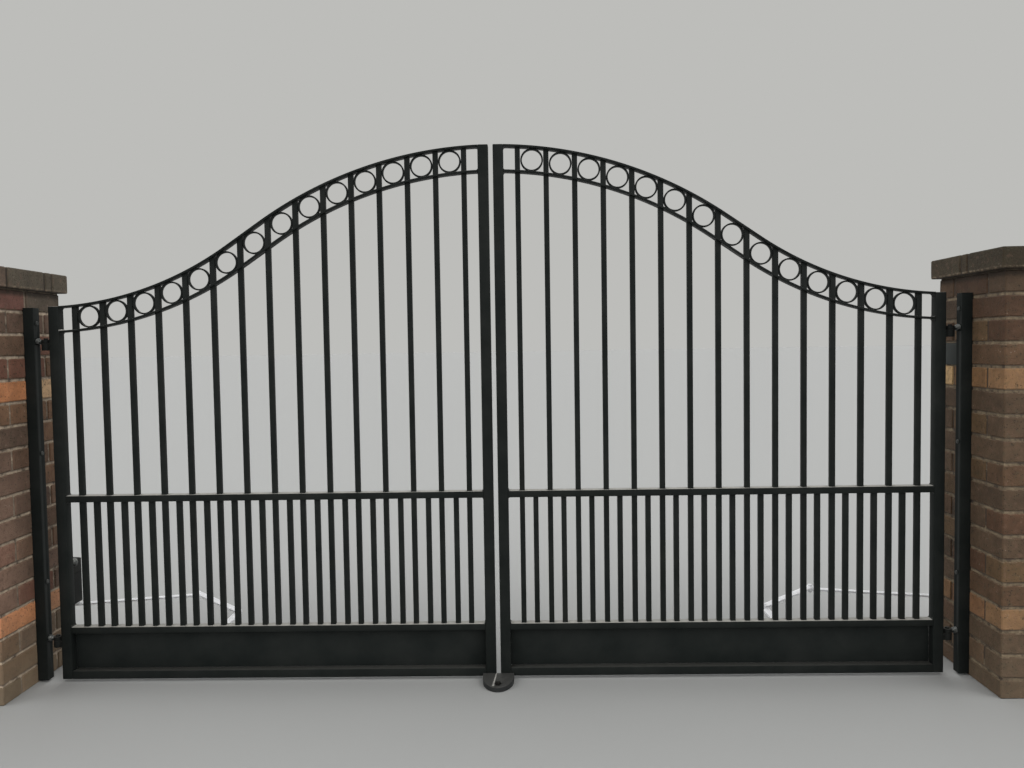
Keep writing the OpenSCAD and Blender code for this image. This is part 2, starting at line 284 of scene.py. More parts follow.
def black_powder_coat(name, colour, dust_and_sheen_share, low_dust_and_sheen_share):
    """Polyester powder coat baked on welded steel: satin, with a fine orange peel, and on its ledges dust and
    a painted sheen of the sky.
    """
    mat, shader = blank(name)
    where = add(mat, "TexCoord").outputs["Object"]
    # Orange peel is about 2 mm across, drawn at 4 mm so that it shows. Dust and painted sheen on ledges
    # change over some
    # 25 mm, and the thin film elsewhere over 140 mm.
    peel = add(mat, "TexNoise", {"Vector": where, "Scale": 250.0, "Detail": 2.0})
    cloud = add(mat, "TexNoise", {"Vector": where, "Scale": 7.0, "Detail": 5.0, "Roughness": 0.65})
    streak = add(mat, "TexNoise", {"Vector": where, "Scale": 40.0, "Detail": 4.0})
    up = add(mat, "SeparateXYZ", {"Vector": add(mat, "NewGeometry").outputs["Normal"]})
    # The lowest ledges get less dust and painted sheen.
    height = add(mat, "SeparateXYZ", {"Vector": where})
    share_by_height = add(mat, "MapRange", {"Value": height.outputs["Z"], "From Min": 0.06, "From Max": 0.2,
                                "To Min": low_dust_and_sheen_share, "To Max": dust_and_sheen_share})
    # Faces that look up turn pale grey: dust, and a painted sheen of the sky.
    ledge_dust_and_sheen = add(mat, "MapRange", {"Value": up.outputs["Z"], "From Min": 0.75, "From Max": 0.98,
                                  "To Max": share_by_height.outputs["Result"]}, interpolation_type="SMOOTHSTEP")
    patchy = add(mat, "MapRange", {"Value": streak.outputs["Fac"], "From Min": 0.2, "From Max": 0.75,
                                   "To Min": 0.72, "To Max": 1.0})
    dust_and_sheen = add(mat, "Math", {0: ledge_dust_and_sheen.outputs["Result"], 1: patchy.outputs["Result"]}, operation="MULTIPLY")
    film = add(mat, "MapRange", {"Value": cloud.outputs["Fac"], "From Min": 0.3, "From Max": 0.8,
                                 "To Min": 0.005, "To Max": 0.024})
    both = add(mat, "Math", {0: dust_and_sheen.outputs[0], 1: film.outputs["Result"]}, operation="MAXIMUM")
    tint = add(mat, "Mix", {"Factor": both.outputs[0], 6: paint(colour), 7: paint("#c2bfb6")},
               data_type="RGBA")
    link(mat, tint.outputs[2], shader, "Base Color")
    rough = add(mat, "MapRange", {"Value": both.outputs[0], "From Min": 0.0, "From Max": 0.5,
                                  "To Min": 0.42, "To Max": 0.7})
    link(mat, rough.outputs["Result"], shader, "Roughness")
    shader.inputs["IOR"].default_value = 1.32
    shader.inputs["Specular IOR Level"].default_value = 0.09
    bump = add(mat, "Bump", {"Height": peel.outputs["Fac"], "Strength": 0.12, "Distance": 0.0004})
    link(mat, bump.outputs["Normal"], shader, "Normal")
    return mat


def zinc_plate():
    """Electroplated zinc on nuts and screws: grey, dull, with darker blotches, and painted shade on the
    undersides.
    """
    mat, shader = blank("zinc_plate")
    where = add(mat, "TexCoord").outputs["Object"]
    # A nut's blotches are some 6 mm across.
    blotch = add(mat, "TexNoise", {"Vector": where, "Scale": 160.0, "Detail": 4.0})
    share = add(mat, "MapRange", {"Value": blotch.outputs["Fac"], "From Min": 0.35, "From Max": 0.65})
    tint = add(mat, "Mix", {"Factor": share.outputs["Result"], 6: paint("#4b4e4b"), 7: paint("#a9aba7")},
               data_type="RGBA")
    # Faces that look down are darker: painted shade, as the light falls from above.
    up = add(mat, "SeparateXYZ", {"Vector": add(mat, "NewGeometry").outputs["Normal"]})
    painted_underside_shade = add(mat, "MapRange", {"Value": up.outputs["Z"], "From Min": 0.4, "From Max": -0.3})
    tint = add(mat, "Mix", {"Factor": painted_underside_shade.outputs["Result"], 6: tint.outputs[2], 7: paint("#262826")},
               data_type="RGBA")
    link(mat, tint.outputs[2], shader, "Base Color")
    shader.inputs["Metallic"].default_value = 0.55
    rough = add(mat, "MapRange", {"Value": blotch.outputs["Fac"], "To Min": 0.35, "To Max": 0.6})
    link(mat, rough.outputs["Result"], shader, "Roughness")
    bump = add(mat, "Bump", {"Height": blotch.outputs["Fac"], "Strength": 0.3, "Distance": 0.0003})
    link(mat, bump.outputs["Normal"], shader, "Normal")
    return mat


def white_enamel():
    """Baked white enamel on the opener's arms, a little grey with dirt."""
    mat, shader = blank("white_enamel")
    where = add(mat, "TexCoord").outputs["Object"]
    # Dirt lies in clouds some 36 mm across. The enamel's peel is drawn at 4.5 mm so that it shows.
    cloud = add(mat, "TexNoise", {"Vector": where, "Scale": 28.0, "Detail": 6.0, "Roughness": 0.7})
    share = add(mat, "MapRange", {"Value": cloud.outputs["Fac"], "From Min": 0.55, "From Max": 0.8,
                                  "To Max": 0.25})
    tint = add(mat, "Mix", {"Factor": share.outputs["Result"], 6: paint("#ffffff"), 7: paint("#cfccc4")},
               data_type="RGBA")
    link(mat, tint.outputs[2], shader, "Base Color")
    shader.inputs["Roughness"].default_value = 0.35
    peel = add(mat, "TexNoise", {"Vector": where, "Scale": 220.0})
    bump = add(mat, "Bump", {"Height": peel.outputs["Fac"], "Strength": 0.15, "Distance": 0.0003})
    link(mat, bump.outputs["Normal"], shader, "Normal")
    return mat


def casing_plastic():
    """Moulded ABS casing in black, with a fine spark texture."""
    mat, shader = blank("casing_plastic")
    where = add(mat, "TexCoord").outputs["Object"]
    # Spark texture is finer than 0.5 mm, drawn at 1.4 mm so that it shows. Dust lies in clouds of 110 mm.
    grain = add(mat, "TexNoise", {"Vector": where, "Scale": 700.0, "Detail": 2.0})
    cloud = add(mat, "TexNoise", {"Vector": where, "Scale": 9.0, "Detail": 5.0})
    share = add(mat, "MapRange", {"Value": cloud.outputs["Fac"], "From Min": 0.4, "From Max": 0.8,
                                  "To Max": 0.07})
    tint = add(mat, "Mix", {"Factor": share.outputs["Result"], 6: paint("#121413"), 7: paint("#6f6b62")},
               data_type="RGBA")
    link(mat, tint.outputs[2], shader, "Base Color")
    shader.inputs["Roughness"].default_value = 0.6
    shader.inputs["Specular IOR Level"].default_value = 0.15
    bump = add(mat, "Bump", {"Height": grain.outputs["Fac"], "Strength": 0.4, "Distance": 0.0004})
    link(mat, bump.outputs["Normal"], shader, "Normal")
    return mat


def bare_metal(name, colour, rough):
    """Steel rubbed bare by use: bright, dulled in spots some 3 mm across."""
    mat, shader = blank(name)
    where = add(mat, "TexCoord").outputs["Object"]
    rub = add(mat, "TexNoise", {"Vector": where, "Scale": 300.0, "Detail": 3.0})
    share = add(mat, "MapRange", {"Value": rub.outputs["Fac"], "From Min": 0.35, "From Max": 0.7})
    tint = add(mat, "Mix", {"Factor": share.outputs["Result"], 6: paint(colour), 7: paint("#8b8a86")},
               data_type="RGBA")
    link(mat, tint.outputs[2], shader, "Base Color")
    shader.inputs["Metallic"].default_value = 0.2
    shader.inputs["Roughness"].default_value = rough
    return mat


def coated(mat, base, coats):
    """Lays patchy coats over a colour. Each coat: where it lies, as ramps (pattern, value with none of it,
    value with all of it) that multiply; how much of it there is at most; and its colour."""
    for ramps, share, colour in coats:
        for pattern, none, full in ramps:
            ramp = add(mat, "MapRange", {"Value": pattern, "From Min": none, "From Max": full})
            share = add(mat, "Math", {0: share, 1: ramp.outputs["Result"]}, operation="MULTIPLY").outputs[0]
        base = add(mat, "Mix", {"Factor": share, 6: base, 7: paint(colour)}, data_type="RGBA").outputs[2]
    return base


def course_marks(mat, height):
    """Sockets: how far down its course a point lies, 0.5 in the middle of a bed joint; how far from that.
    A ramp counts the courses down, twenty of them, and the fraction is the place in one."""
    down = add(mat, "MapRange", {"Value": height, "From Min": PIER_H + COURSE / 2,
                                 "From Max": PIER_H - 19.5 * COURSE, "To Max": 20.0})
    down = add(mat, "Math", {0: down.outputs["Result"]}, operation="FRACT").outputs[0]
    away = add(mat, "Math", {0: down, 1: 0.5}, operation="SUBTRACT").outputs[0]
    return down, add(mat, "Math", {0: away}, operation="ABSOLUTE").outputs[0]


def fired_brick():
    """Extruded clay brick fired dark: clouded, with pits, pale specks of salt, smears of mortar along the
    beds, painted shadow under the caps and dust near the ground. The colour of each brick's clay is on its
    mesh."""
    mat, shader = blank("fired_brick")
    where = add(mat, "TexCoord").outputs["Object"]
    spot = add(mat, "SeparateXYZ", {"Vector": where})
    clay = add(mat, "Attribute", attribute_name="clay").outputs["Color"]
    # Clouds of the firing are some 60 mm across, smudges 20 mm, grains 3 mm, specks of salt 6 mm.
    cloud = add(mat, "TexNoise", {"Vector": where, "Scale": 17.0, "Detail": 6.0, "Roughness": 0.6})
    smudge = add(mat, "TexNoise", {"Vector": where, "Scale": 52.0, "Detail": 5.0, "Roughness": 0.65})
    grain = add(mat, "TexNoise", {"Vector": where, "Scale": 330.0, "Detail": 4.0, "Roughness": 0.7})
    salt = add(mat, "TexVoronoi", {"Vector": where, "Scale": 75.0}).outputs["Distance"]
    pit = add(mat, "TexVoronoi", {"Vector": where, "Scale": 110.0}).outputs["Distance"]
    cloud, smudge, grain = cloud.outputs["Fac"], smudge.outputs["Fac"], grain.outputs["Fac"]
    along, back, height = (spot.outputs[axis] for axis in "XYZ")
    away = course_marks(mat, height)[1]
    under_cap = (height, PIER_H + 0.003, PIER_H - 0.003)
    # Firing darkens and lightens the clay in clouds.
    fire = add(mat, "MapRange", {"Value": cloud, "From Min": 0.3, "From Max": 0.7,
                                 "To Min": 0.8, "To Max": 1.3})
    base = add(mat, "Mix", {"Factor": 1.0, 6: clay, 7: fire.outputs["Result"]}, data_type="RGBA",
               blend_type="MULTIPLY")
    base = coated(mat, base.outputs[2], [
        ([(smudge, 0.52, 0.70)], 0.5, "#4c4636"),                         # olive smudges
        ([(smudge, 0.46, 0.30)], 0.4, "#6f5648"),                         # purple smudges
        ([(pit, 0.38, 0.14), (smudge, 0.50, 0.55)], 0.85, "#2b221c"),     # pits
        ([(salt, 0.18, 0.08), (cloud, 0.56, 0.64)], 0.6, "#a99c8e"),      # salt
        ([(away, 0.13, 0.08), (smudge, 0.44, 0.64)], 0.6, "#8a7964"),     # mortar, up to 5 mm from the beds
        # The left pier is paler low down towards the front.
        ([(height, 0.95, 0.6), (height, 0.2, 0.42), (along, GATE + 1, GATE - 1), (back, -0.02, -0.18),
          (smudge, 0.3, 0.5)], 0.36, "#b08d78"),
        # Painted shadow under the caps, where the overhang keeps the light off; the right pier's top courses
        # darker towards the top.
        ([(height, *PAINTED_CAP_SHADOW), under_cap, (smudge, 0.15, 0.45)], 0.8, "#2b241c"),
        ([(height, PIER_H - 0.3, PIER_H), under_cap, (along, GATE - 1, GATE + 1)], 0.55, "#2d231a"),
        # Road dust near the ground, more of it on the left pier.
        ([(height, 0.36, 0.05), (along, GATE + 3.4, GATE - 1), (cloud, -0.4, 0.6)], 0.75, "#7b6d58")])
    link(mat, base, shader, "Base Color")
    shader.inputs["Roughness"].default_value = 0.88
    shader.inputs["Specular IOR Level"].default_value = 0.3
    rise = add(mat, "Math", {0: grain, 1: smudge}, operation="ADD")
    hole = add(mat, "MapRange", {"Value": pit, "From Min": 0.14, "From Max": 0.38,
                                 "To Min": -0.8, "To Max": 0.0})
    rise = add(mat, "Math", {0: rise.outputs[0], 1: hole.outputs["Result"]}, operation="ADD")
    bump = add(mat, "Bump", {"Height": rise.outputs[0], "Strength": 0.7, "Distance": 0.002})
    link(mat, bump.outputs["Normal"], shader, "Normal")
    return mat


def raked_mortar(name, dark, pale, stain):
    """Sand and cement mortar, raked back: coarse grains, pale in clouds on the bed joints, painted shadow
    just under each course, with gaps where it has fallen out; the upright joints are stained by a share."""
    mat, shader = blank(name)
    where = add(mat, "TexCoord").outputs["Object"]
    height = add(mat, "SeparateXYZ", {"Vector": where}).outputs["Z"]
    # Sand is finer than 2 mm, drawn at 2.4 mm so that it shows. Clouds and gaps are some 33 mm across.
    sand = add(mat, "TexNoise", {"Vector": where, "Scale": 420.0, "Detail": 3.0})
    cloud = add(mat, "TexNoise", {"Vector": where, "Scale": 30.0, "Detail": 6.0, "Roughness": 0.65})
    cloud = cloud.outputs["Fac"]
    down, away = course_marks(mat, height)
    base = coated(mat, paint(dark), [
        ([(cloud, 0.35, 0.65)], 1.0, pale),
        ([(away, 0.08, 0.11), (cloud, 0.68, 0.58)], stain, "#40362d"),    # upright joints
        ([(down, 0.5 - 0.0005 / COURSE, 0.5 - 0.004 / COURSE), (away, 0.10, 0.07), (cloud, 0.68, 0.60)],
         0.72, "#40362d"),                                                # painted shadow under each course, below the arris of the brick above
        ([(cloud, 0.44, 0.36)], 0.7, "#3f342b"),                          # gaps
        ([(height, *PAINTED_CAP_SHADOW)], 0.75, "#2b241c")])                            # painted shadow under the caps
    link(mat, base, shader, "Base Color")
    shader.inputs["Roughness"].default_value = 0.95
    bump = add(mat, "Bump", {"Height": sand.outputs["Fac"], "Strength": 0.7, "Distance": 0.0015})
    link(mat, bump.outputs["Normal"], shader, "Normal")
    return mat


def plain_floor():
    """A pale studio floor."""
    mat, shader = blank("plain_floor")
    shader.inputs["Base Color"].default_value = paint("#a9a9a6")
    shader.inputs["Roughness"].default_value = 0.9
    return mat


black_steel = black_powder_coat("black_powder_coat", "#131716", 0.72, 0.09)
panel_steel = black_powder_coat("black_panel_coat", "#171b1a", 0.72, 0.09)
hinge_steel = black_powder_coat("greased_hinge_coat", "#131514", 0.15, 0.03)
stop_paint = black_powder_coat("worn_stop_paint", "#292a2a", 0.2, 0.085)
cell_paint = black_powder_coat("grey_cell_cover", "#343735", 0.1, 0.1)
zinc = zinc_plate()
enamel = white_enamel()
casing = casing_plastic()
scratched = bare_metal("scratched_steel", "#c4c1b9", 0.5)
scuffed = black_powder_coat("scuffed_fixings", "#3e403e", 0.3, 0.3)
dark_bolt = black_powder_coat("blackened_bolt", "#11100f", 0.02, 0.02)
brick = fired_brick()


# Brickwork

# The right pier's mortar is darker than the left's: partly its own colour, partly painted shade.
MORTAR = {-1: raked_mortar("washed_mortar", "#6f6152", "#b3a18a", 0.5),
          1: raked_mortar("stained_and_shaded_mortar", "#43372b", "#84745c", 1.0)}
# Dark mortar in the caps: partly its own colour, partly painted shade under the caps.
CAP_MORTAR = raked_mortar("dark_shaded_cap_mortar", "#3b2e26", "#5d4a3d", 1.0)
# The clays, as the kiln left them: grey brown, brown, ochre brown and red brown. The right pier's, here and
# in the
# band and cap, are darker: partly their own colour, partly painted shade.
WALL_CLAYS = {-1: ["#534236", "#5f4939", "#674d39", "#5e4a3d", "#664537"],
              1: ["#4d3d2e", "#56412f", "#5a4630", "#524131", "#563e2d"]}
# Bricks that stand out, by pier, course, and the half of the pier along X and Y: red, grey brown and buff.
ODD_CLAY = {(-1, 0, 1, -1): "#5e3f36", (-1, 0, 1, 1): "#4f453a",
            (-1, 4, 1, 1): "#c3a07a", (1, 4, -1, 1): "#c3a072"}
BAND_CLAY = {-1: ["#b5784f", "#b4805c", "#a8704a"], 1: ["#7f5b3e", "#7c5e41", "#745639"]}
CAP_CLAY = {-1: ["#54463a", "#5e4a3e", "#4c4438"], 1: ["#383023", "#3d3224", "#342e20"]}


def one_brick(size, arris):
    """One brick at the origin, its length along X, with blunt arrises."""
    o = block("brick", [-s / 2 for s in size], [s / 2 for s in size])
    pick(o, "faces", lambda middle, normal: True)
    bpy.ops.mesh.subdivide(number_cuts=1)
    half = [s / 2 - 0.0001 for s in size]

    def on_an_arris(middle, way):
        return sum(abs(c) > h for c, h in zip(middle, half)) >= 2

    pick(o, "edges", on_an_arris)
    bpy.ops.mesh.bevel(offset=arris, segments=1, affect="EDGES")
    bpy.ops.object.mode_set(mode="OBJECT")
    return o


def lay(pattern, middle, turned, low, high, rng, clay):
    """Copies a brick to its place in the wall, cut to its height, with its own wear."""
    mesh = pattern.data.copy()
    turn = Matrix.Rotation(math.pi / 2 if turned else 0, 4, "Z")
    if rng.random() < 0.5:
        turn = turn @ Matrix.Rotation(math.pi, 4, "Z")
    height = Matrix.Diagonal((1, 1, (high - low) / BRICK[2], 1))
    mesh.transform(Matrix.Translation((*middle, (low + high) / 2)) @ turn @ height)
    centre = Vector((*middle, (low + high) / 2))
    seed = Vector((rng.uniform(0, 50), rng.uniform(0, 50), rng.uniform(0, 50)))
    # Faces and arrises are worn by 0.6 to 3.2 mm, in waves some 45 and 13 mm long.
    for v in mesh.vertices:
        wave = noise.noise(v.co * 22 + seed) * 0.5 + noise.noise(v.co * 75 + seed) * 0.5
        pull = 0.0006 + 0.0026 * max(0.0, wave)
        v.co += (centre - v.co).normalized() * pull
    lift = rng.uniform(0.86, 1.16)
    tinted = [c * lift for c in paint(clay)[:3]] + [1.0]
    attribute = mesh.attributes.new("clay", "FLOAT_COLOR", "POINT")
    attribute.data.foreach_set("color", tinted * len(mesh.vertices))
    o = bpy.data.objects.new("laid_brick", mesh)
    bpy.context.scene.collection.objects.link(o)
    return o


def course_plan(two_to_the_front):
    """The six bricks round a pier: (middle of the brick, turned along Y)."""
    near = (PIER - BRICK[1]) / 2
    half = (BRICK[0] + JOINT) / 2
    plan = []
    for a in (-1, 1):
        plan += [((half * b, near * a), False) for b in (-1, 1)]
        plan += [((near * a, 0), True)]
    if not two_to_the_front:
        plan = [((y, x), not turned) for (x, y), turned in plan]
    return plan


def brick_pier(side, pattern):
    name = {-1: "left", 1: "right"}[side]
    centre = GATE + side * (REVEAL + PIER / 2)
    rng = random.Random(11 + side)
    laid = []
    for k in range(COURSES):
        high = PIER_H - JOINT / 2 - k * COURSE
        low = max(high - BRICK[2], 0.0)
        band = k in BAND_COURSES
        front_pair = (k % 2 == 0) == (side > 0)
        for (x, y), turned in course_plan(front_pair):
            clay = rng.choice(BAND_CLAY[side] if band else WALL_CLAYS[side])
            clay = ODD_CLAY.get((side, k, (x > 0) - (x < 0), (y > 0) - (y < 0)), clay)
            laid.append(lay(pattern, (centre + x, y), turned, low, high, rng, clay))
    wall = joined(name + "_pier_bricks", laid)
    place(wall, "piers", brick, [name + "_pier"])
    back = PIER / 2 - RAKED
    bed = block(name + "_pier_mortar", (centre - back, -back, 0.0), (centre + back, back, PIER_H))
    pick(bed, "faces", lambda middle, normal: abs(normal.z) < 0.5)
    bpy.ops.mesh.subdivide(number_cuts=3)
    bpy.ops.object.mode_set(mode="OBJECT")
    place(bed, "piers", MORTAR[side])


def cap_course(side, pattern, closer):
    """The cap: stretchers, headers and a thin closer on every side, laid on a bed of mortar."""
    name = {-1: "left", 1: "right"}[side]
    centre = GATE + side * (REVEAL + PIER / 2)
    rng = random.Random(31 + side)
    half = PIER / 2 + CAP_OUT
    low, high = PIER_H, PIER_H + BRICK[2]
    edge = half - BRICK[1] / 2
    plan = []
    ends = half - BRICK[0] / 2
    for a in (-1, 1):
        plan += [(pattern, b * ends, a * edge, False) for b in (-1, 1)]
        plan.append((closer, 0, a * edge, True))
    long_y = -half + BRICK[1] + JOINT + BRICK[0] / 2
    thin_y = long_y + BRICK[0] / 2 + JOINT + CLOSER / 2
    step = (2 * half - BRICK[1]) / 3
    for i in range(4):
        x = -half + BRICK[1] / 2 + i * step
        plan += [(pattern, x, long_y, True), (closer, x, thin_y, False)]
    if side > 0:
        plan = [(shape, y, x, not turned) for shape, x, y, turned in plan]
    laid = [lay(shape, (centre + x, y), turned, low, high, rng, rng.choice(CAP_CLAY[side]))
            for shape, x, y, turned in plan]
    course = joined(name + "_cap_bricks", laid)
    place(course, "piers", brick, [name + "_pier_cap"])
    back = half - RAKED
    bed = block(name + "_cap_mortar", (centre - back, -back, low), (centre + back, back, high - 0.004))
    pick(bed, "faces", lambda middle, normal: normal.z > 0.5)
    bpy.ops.mesh.inset(thickness=0.1)
    bpy.ops.mesh.inset(thickness=0.05)
    bpy.ops.object.mode_set(mode="OBJECT")
    place(ease(bed, 0.002), "piers", CAP_MORTAR)


def brickwork():
    pattern = one_brick(BRICK, 0.004)
    closer = one_brick((BRICK[1], CLOSER, BRICK[2]), 0.0035)
    for side in SIDES.values():
        brick_pier(side, pattern)
        cap_course(side, pattern, closer)
    for o in (pattern, closer):
        bpy.data.objects.remove(o)


# Steel

def rolled_steel():
    """Rounds the edges of the tubes, bars and flats as they come from the mill."""
    widths = {
        "hinge_stile": 0.003, "meeting_stile": 0.003, "top_rail": 0.0012, "ring_rail": 0.0012,
        "mid_rail": 0.0025, "panel_rail": 0.0025, "bottom_rail": 0.0025, "bars": 0.0012,
        "short_bars": 0.0012, "rings": 0.001, "kick_panel": 0.0006, "hinge_pins": 0.001}
    coats = {"hinge_pins": hinge_steel, "kick_panel": panel_steel}
    for name in SIDES:
        for node, width in widths.items():
            steel = coats.get(node, black_steel)
            node = name + "_" + node
            place(eased_copy(node, width), name + "_leaf", steel, [node])
        node = name + "_post"
        place(eased_copy(node, 0.003), "piers", black_steel, [node])
        for node, body in (("arm_bracket", "leaf"), ("drive_arm", "drive_lever"), ("link_arm", "link_lever")):
            node = name + "_" + node
            place(eased_copy(node, 0.0015), name + "_" + body, enamel, [node])
    place(eased_copy("eye_bolts", 0.001), "piers", hinge_steel, ["eye_bolts"])
    place(eased_copy("hinge_nuts", 0.0015), "piers", zinc, ["hinge_nuts"])
    place(eased_copy("post_fixings", 0.001), "piers", scuffed, ["post_fixings"])
    place(eased_copy("opener_plates", 0.001), "piers", black_steel, ["opener_plates"])
    place(eased_copy("stop_bolt", 0.0008), "piers", dark_bolt, ["stop_bolt"])


def weld_fillet(x, z, sx, sz, r, depth):
    """A weld drawn smooth into the corner of two steel faces."""
    a, b = sorted((x, x + sx * r)), sorted((z, z + sz * r))
    o = block("weld", (a[0], -depth / 2, b[0]), (a[1], depth / 2, b[1]))

    def outer(middle, way):
        return abs(way.y) > 0.9 and abs(middle.x - x) > r * 0.9 and abs(middle.z - z) > r * 0.9

    pick(o, "edges", outer)
    bpy.ops.mesh.bevel(offset=r * 0.97, segments=5, profile=0.12, affect="EDGES")
    bpy.ops.object.mode_set(mode="OBJECT")
    return o


def frame_welds(name, side):
    """The fillets where rails meet stiles."""
    meet = MEET_IN + STILE
    hinge = STILE_OUT - STILE
    deep = STILE - 0.004
    parts = []
    for x, way in ((meet, 1), (hinge, -1)):
        near = x + way * 0.004
        flats = [under_head(near, d) for d in (FLAT, FLAT + RING_GAP, 2 * FLAT + RING_GAP)]
        corners = [(flats[0], -1), (flats[1], 1), (flats[2], -1),
                   (MID_RAIL[1], 1), (MID_RAIL[0], -1), (PANEL_RAIL_TOP, 1)]
        for z, up in corners:
            parts.append(weld_fillet(GATE + side * x, z, side * way, up, 0.006, deep))
    place(joined(name + "_frame_welds", parts), name + "_leaf", black_steel)


def worn_weld_painted_highlight():
    """The bead over the left leaf's lower flat bar at the hinge stile, drawn pale in bare steel: a painted
    highlight on the weld, and wear of its coat.
    """
    x = GATE - (STILE_OUT - STILE) + 0.002
    z = under_head(STILE_OUT - STILE, FLAT + RING_GAP) + 0.0006
    reach = STILE / 2 - 0.0012
    bead = rod("left_worn_weld_painted_highlight", (x, -reach, z), (x, reach, z), 0.0038, 16)
    pick(bead, "faces", lambda middle, normal: abs(normal.y) < 0.5)
    bpy.ops.mesh.subdivide(number_cuts=4)
    bpy.ops.transform.vertex_random(offset=0.0004, seed=7)
    bpy.ops.object.mode_set(mode="OBJECT")
    place(bead, "left_leaf", scratched)


def weld_bead(size):
    """A short bead at the origin."""
    o = block("bead", [-s / 2 for s in size], [s / 2 for s in size])
    pick(o, "faces", lambda middle, normal: True)
    bpy.ops.mesh.subdivide(number_cuts=1, smoothness=0.6)
    bpy.ops.mesh.bevel(offset=min(size) * 0.2, segments=1, affect="EDGES")
    bpy.ops.object.mode_set(mode="OBJECT")
    return o


def ring_welds(name, side):
    """The beads that hold each ring to the two curved flat bars."""
    pattern = weld_bead((0.018, 0.011, 0.0045))
    parts = []
    d = FLAT + RING_GAP / 2
    out = RING / 2 - 0.0008
    for i in range(BAYS):
        x = FIRST_BAR - (i + 0.5) * PITCH
        slope = head_slope(x, d)
        for way in (1, -1):
            spot = (GATE + side * (x + way * out * math.sin(slope)), 0.0,
                    under_head(x, d) + way * out * math.cos(slope))
            o = bpy.data.objects.new("bead", pattern.data.copy())
            bpy.context.scene.collection.objects.link(o)
            o.data.transform(Matrix.Translation(spot) @ Matrix.Rotation(side * slope, 4, "Y"))
            parts.append(o)
    bpy.data.objects.remove(pattern)
    place(joined(name + "_ring_welds", parts), name + "_leaf", black_steel)


def hinge_welds(name, side):
    """The beads that hold each hinge knuckle's web, 24 mm thick, to its stile."""
    parts = []
    x = GATE + side * (STILE_OUT + 0.0012)
    for eye in EYES:
        high = eye - KNUCKLE_DROP
        for y in (-0.0125, 0.0125):
            bead = rod("bead", (x, y, high - KNUCKLE + 0.001), (x, y, high - 0.001), 0.0032, 10)
            pick(bead, "faces", lambda middle, normal: abs(normal.z) < 0.5)
            bpy.ops.mesh.subdivide(number_cuts=6)
            bpy.ops.transform.vertex_random(offset=0.0006, seed=4)
            bpy.ops.object.mode_set(mode="OBJECT")
            parts.append(bead)
    place(joined(name + "_hinge_welds", parts), name + "_leaf", black_steel)


def bolt_threads(name, side):
    """Thread crests on the short length of shank between eye and nut."""
    parts = []
    for z in EYES:
        for i in range(4):
            x = GATE + side * (HINGE + 0.0162 + i * 0.002)
            crest = rod("crest", (x - 0.0008, 0, z), (x + 0.0008, 0, z), 0.0086, 28)
            pick(crest, "faces", lambda middle, normal: abs(normal.x) > 0.9)
            bpy.ops.mesh.inset(thickness=0.0008)
            bpy.ops.object.mode_set(mode="OBJECT")
            parts.append(ease(crest, 0.0005, 1))
    place(joined(name + "_bolt_threads", parts), "piers", zinc)


# Floor stop and openers

def floor_stop_details():
    """The stop's worn paint, and a scrape that runs down its sloping top from the gap between the leaves."""
    place(eased_copy("floor_stop", 0.002), "piers", stop_paint, ["floor_stop"])

    def on_top(x, y):
        return Vector((GATE + x, y, STOP_TOP[0] - (STOP_TOP[0] - STOP_TOP[1]) * (STOP_BACK - y) / STOP_REACH))

    start, end = on_top(-0.008, -0.024), on_top(-0.018, -0.128)
    scrape = block("stop_scrape", (-0.5, -0.5, -0.5), (0.5, 0.5, 0.5))
    pick(scrape, "faces", lambda middle, normal: True)
    bpy.ops.mesh.subdivide(number_cuts=9)
    bpy.ops.object.mode_set(mode="OBJECT")
    side_way = (end - start).cross(Vector((0, 0, 1))).normalized()
    for v in scrape.data.vertices:
        t = v.co.y + 0.5
        width = 0.0035 + 0.0045 * t + 0.001 * noise.noise(Vector((t * 12, v.co.x, 2.0)))
        v.co = start.lerp(end, t) + side_way * v.co.x * width + Vector((0, 0, v.co.z * 0.0006))
    place(scrape, "piers", scratched)


